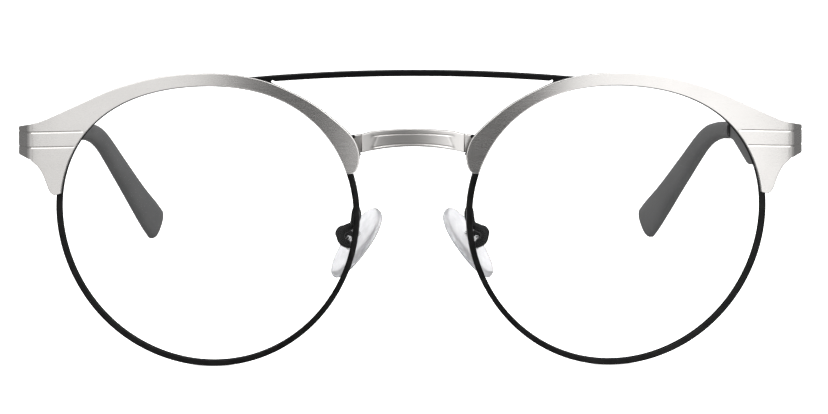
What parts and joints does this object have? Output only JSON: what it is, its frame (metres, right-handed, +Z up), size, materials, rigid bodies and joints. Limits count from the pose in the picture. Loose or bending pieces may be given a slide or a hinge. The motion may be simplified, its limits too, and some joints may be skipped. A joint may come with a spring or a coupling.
{
  "type": "eyeglasses",
  "caption": "Round double-bridge metal eyeglasses with brushed brow plates, clear nose pads and temples that fold on screw hinges.",
  "frame": {"origin": "on the surface the glasses stand on, under the middle of the bounding box of the open frame", "axes": "+X to the wearer's left, +Y from the front towards the ears, +Z up"},
  "size_m": [0.1388, 0.142, 0.0525],
  "materials": {
    "black_metal": "satin black",
    "graphite_metal": "satin graphite grey",
    "brushed_silver": "fine brushed silver",
    "bright_steel": "bright turned steel",
    "dark_plastic": "dark grey satin acetate",
    "clear_silicone": "clear soft plastic",
    "clear_lens": "clear uncoated demonstration lens"
  },
  "bodies": {
    "front": {"top_bar": "black_metal", "lower_bridge": "brushed_silver", "right_rim": "black_metal", "right_lens": "clear_lens", "right_brow_plate": "brushed_silver", "right_upper_closing_block": "black_metal", "right_lower_closing_block": "black_metal", "right_closing_screw": "bright_steel", "right_front_hinge_leaf": "bright_steel", "right_hinge_screw": "bright_steel", "right_pad_arm": "black_metal", "right_pad_box": "black_metal", "right_pad_screw": "bright_steel", "left_rim": "black_metal", "left_lens": "clear_lens", "left_brow_plate": "brushed_silver", "left_upper_closing_block": "black_metal", "left_lower_closing_block": "black_metal", "left_closing_screw": "bright_steel", "left_front_hinge_leaf": "bright_steel", "left_hinge_screw": "bright_steel", "left_pad_arm": "black_metal", "left_pad_box": "black_metal", "left_pad_screw": "bright_steel"},
    "right_temple": {"right_temple_arm": "graphite_metal", "right_temple_tip": "dark_plastic", "right_temple_hinge_leaf": "bright_steel"},
    "right_pad": {"right_nose_pad": "clear_silicone", "right_pad_insert": "bright_steel"},
    "left_temple": {"left_temple_arm": "graphite_metal", "left_temple_tip": "dark_plastic", "left_temple_hinge_leaf": "bright_steel"},
    "left_pad": {"left_nose_pad": "clear_silicone", "left_pad_insert": "bright_steel"}
  },
  "joints": [
    {"name": "left_temple_fold", "type": "hinge", "parent": "front", "child": "left_temple", "pos_m": [0.066, -0.05916, 0.039], "axis": [0, 0, 1], "range_deg": [0, 86]},
    {"name": "right_temple_fold", "type": "hinge", "parent": "front", "child": "right_temple", "pos_m": [-0.066, -0.05916, 0.039], "axis": [0, 0, -1], "range_deg": [0, 81]},
    {"name": "left_pad_rock", "type": "hinge", "parent": "front", "child": "left_pad", "pos_m": [0.01191, -0.06519, 0.02299], "axis": [0.3937, 0.8788, 0.2696], "range_deg": [-10, 10]},
    {"name": "right_pad_rock", "type": "hinge", "parent": "front", "child": "right_pad", "pos_m": [-0.01191, -0.06519, 0.02299], "axis": [-0.3937, 0.8788, 0.2696], "range_deg": [-10, 10]}
  ]
}
